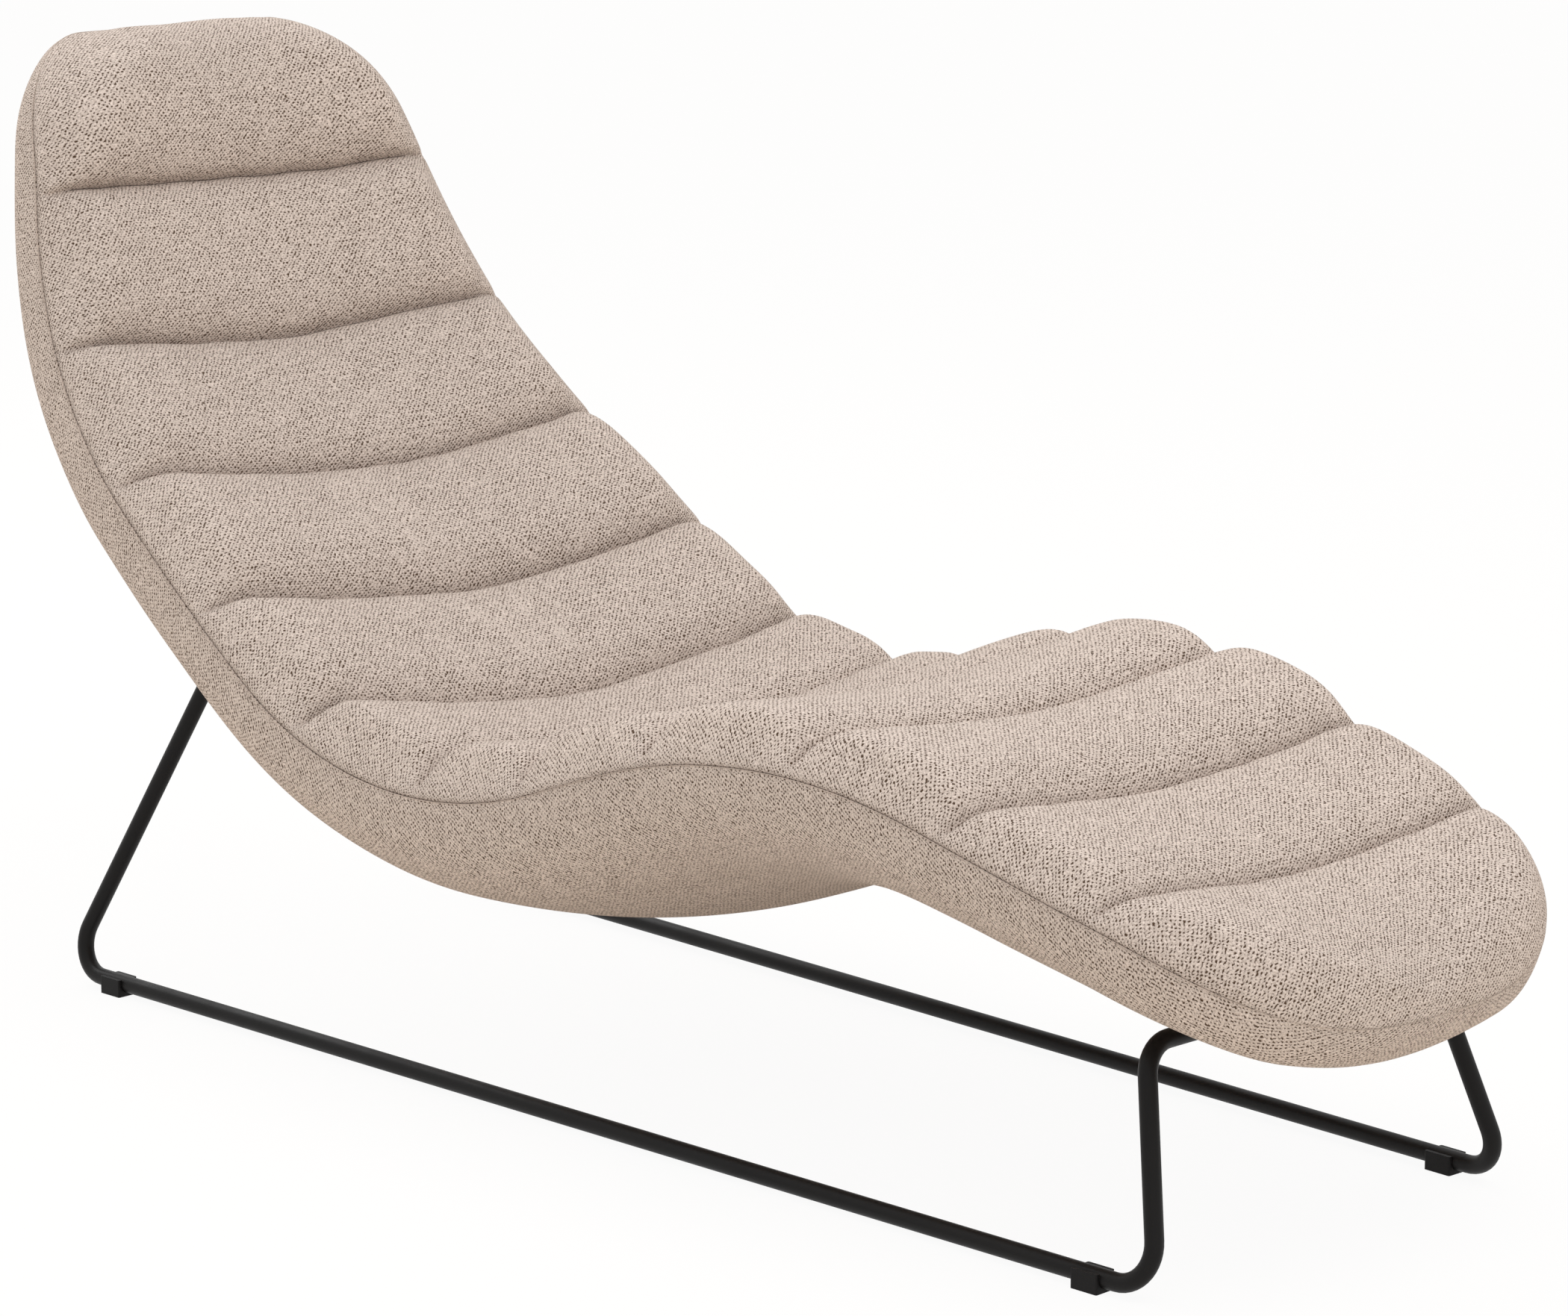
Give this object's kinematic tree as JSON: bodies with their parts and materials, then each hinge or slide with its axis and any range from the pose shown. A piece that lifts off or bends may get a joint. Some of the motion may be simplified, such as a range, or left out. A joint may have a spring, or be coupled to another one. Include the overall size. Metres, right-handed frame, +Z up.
{
  "type": "chaise lounger",
  "caption": "Fixed chaise lounger: a long S-shaped, channel-quilted upholstered body on a sled base of bent round black tube, for lying or reclining on.",
  "frame": {"origin": "on the floor, under the middle of the upholstered body", "axes": "+Z up, +Y towards the head end along the body, X across the width"},
  "size_m": [0.644, 1.6482, 0.9016],
  "materials": {
    "cover_fabric": "nubby greige basket weave with dark flecks",
    "foam": "open-cell foam",
    "webbing": "elastic webbing",
    "plywood": "raw birch plywood",
    "black_tube": "fine-textured matt black powder coat",
    "zinc_steel": "bright zinc plate",
    "glide_plastic": "moulded, matt"
  },
  "bodies": {
    "root": {"foam_tub": "foam", "front_cross_tube": "black_tube", "front_mount_block": "plywood", "front_mount_rail": "plywood", "glide_front_left": "glide_plastic", "glide_front_right": "glide_plastic", "glide_rear_left": "glide_plastic", "glide_rear_right": "glide_plastic", "head_rail": "plywood", "knee_rail": "plywood", "mount_bolts": "zinc_steel", "mount_plate_front_left": "black_tube", "mount_plate_front_right": "black_tube", "mount_plate_rear_left": "black_tube", "mount_plate_rear_right": "black_tube", "mount_washers": "zinc_steel", "quilted_top": "cover_fabric", "rail_screws": "zinc_steel", "rear_cross_tube": "black_tube", "rear_mount_block": "plywood", "rear_mount_rail": "plywood", "seat_pad": "foam", "seat_rail": "plywood", "shoulder_rail": "plywood", "side_rib_left": "plywood", "side_rib_right": "plywood", "side_tube_left": "black_tube", "side_tube_right": "black_tube", "t_nuts": "zinc_steel", "thigh_rail": "plywood", "tub_cover": "cover_fabric", "webbing_strap_01": "webbing", "webbing_strap_02": "webbing", "webbing_strap_03": "webbing", "webbing_strap_04": "webbing", "webbing_strap_05": "webbing", "webbing_strap_06": "webbing", "webbing_strap_07": "webbing", "webbing_strap_08": "webbing", "webbing_strap_09": "webbing", "webbing_strap_10": "webbing", "webbing_strap_11": "webbing", "webbing_strap_12": "webbing", "webbing_strap_13": "webbing", "webbing_strap_14": "webbing", "webbing_strap_15": "webbing"}
  },
  "joints": []
}
